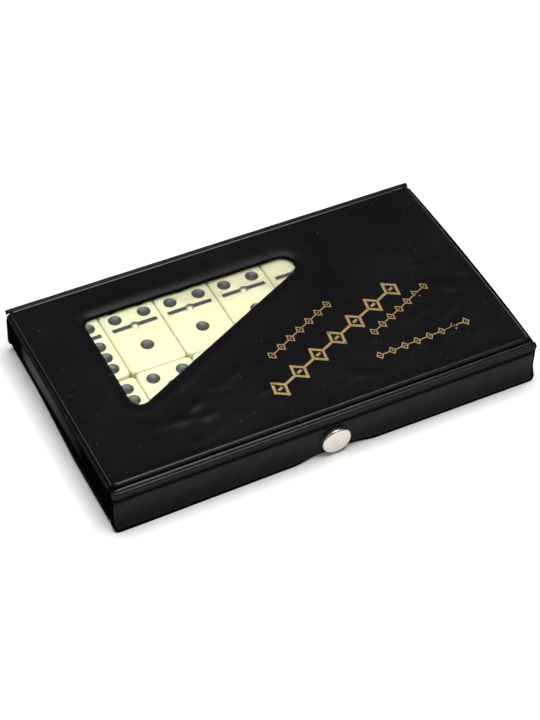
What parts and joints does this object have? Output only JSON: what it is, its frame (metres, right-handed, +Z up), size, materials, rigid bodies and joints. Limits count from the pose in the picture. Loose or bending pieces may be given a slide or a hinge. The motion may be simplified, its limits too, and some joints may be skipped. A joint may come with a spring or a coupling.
{
  "type": "domino storage box",
  "caption": "Flat snap-shut vinyl case over stiff boards, with a clear triangular window in the lid, holding two layers of ivory dominoes with brass spinners.",
  "frame": {"origin": "on the resting plane, under the middle of the closed case", "axes": "+X along the length, to the right seen from the flap; +Y from the flap to the spine; +Z up"},
  "size_m": [0.184, 0.107, 0.021],
  "materials": {
    "outer_vinyl": "black embossed vinyl sheet, satin, with glossy welded borders",
    "liner_vinyl": "smooth black vinyl lining sheet",
    "chipboard": "grey-brown pressed chipboard",
    "clear_film": "clear soft vinyl film",
    "tile_plastic": "polished ivory urea resin with black-filled pips",
    "brass": "polished brass spinner pins",
    "nickel": "warm nickel-plated pressed steel"
  },
  "bodies": {
    "base": {"base_outer_skin": "outer_vinyl", "base_board": "chipboard", "base_liner": "liner_vinyl", "tray_front_board": "chipboard", "tray_rear_board": "chipboard", "tray_left_board": "chipboard", "tray_right_board": "chipboard", "tray_wrap": "liner_vinyl", "snap_stud": "nickel", "snap_eyelet": "nickel", "rear_bottom_bend": "outer_vinyl", "spinner_pins": "brass", "tile_6_6": "tile_plastic", "tile_6_1": "tile_plastic", "tile_5_1": "tile_plastic", "tile_4_1": "tile_plastic", "tile_3_1": "tile_plastic", "tile_2_1": "tile_plastic", "tile_1_1": "tile_plastic", "tile_6_0": "tile_plastic", "tile_5_0": "tile_plastic", "tile_4_0": "tile_plastic", "tile_3_0": "tile_plastic", "tile_2_0": "tile_plastic", "tile_1_0": "tile_plastic", "tile_0_0": "tile_plastic", "tile_6_5": "tile_plastic", "tile_6_4": "tile_plastic", "tile_6_3": "tile_plastic", "tile_6_2": "tile_plastic", "tile_5_5": "tile_plastic", "tile_5_4": "tile_plastic", "tile_5_3": "tile_plastic", "tile_5_2": "tile_plastic", "tile_4_4": "tile_plastic", "tile_4_3": "tile_plastic", "tile_4_2": "tile_plastic", "tile_3_3": "tile_plastic", "tile_3_2": "tile_plastic", "tile_2_2": "tile_plastic"},
    "spine": {"spine_outer_skin": "outer_vinyl", "spine_board": "chipboard", "spine_liner": "liner_vinyl", "rear_top_bend": "outer_vinyl"},
    "lid": {"lid_outer_skin": "outer_vinyl", "lid_board": "chipboard", "lid_liner": "liner_vinyl", "window_film": "clear_film", "front_weld_strip": "outer_vinyl"},
    "flap": {"flap_roll": "outer_vinyl", "flap_outer_skin": "outer_vinyl", "flap_board": "chipboard", "flap_liner": "liner_vinyl", "snap_cap": "nickel", "snap_socket": "nickel", "snap_spring": "nickel"}
  },
  "joints": [
    {"name": "spine_fold", "type": "hinge", "parent": "base", "child": "spine", "pos_m": [0, 0.0525, 0], "axis": [-1, 0, 0], "range_deg": [0, 90], "deforming": ["rear_bottom_bend"]},
    {"name": "lid_open", "type": "hinge", "parent": "spine", "child": "lid", "pos_m": [0, 0.0525, 0.021], "axis": [-1, 0, 0], "range_deg": [0, 90], "deforming": ["rear_top_bend"]},
    {"name": "flap_fold", "type": "hinge", "parent": "lid", "child": "flap", "pos_m": [0, -0.0511, 0.0204], "axis": [-1, 0, 0], "range_deg": [-5.9, 90], "deforming": ["front_weld_strip", "snap_spring"]}
  ]
}
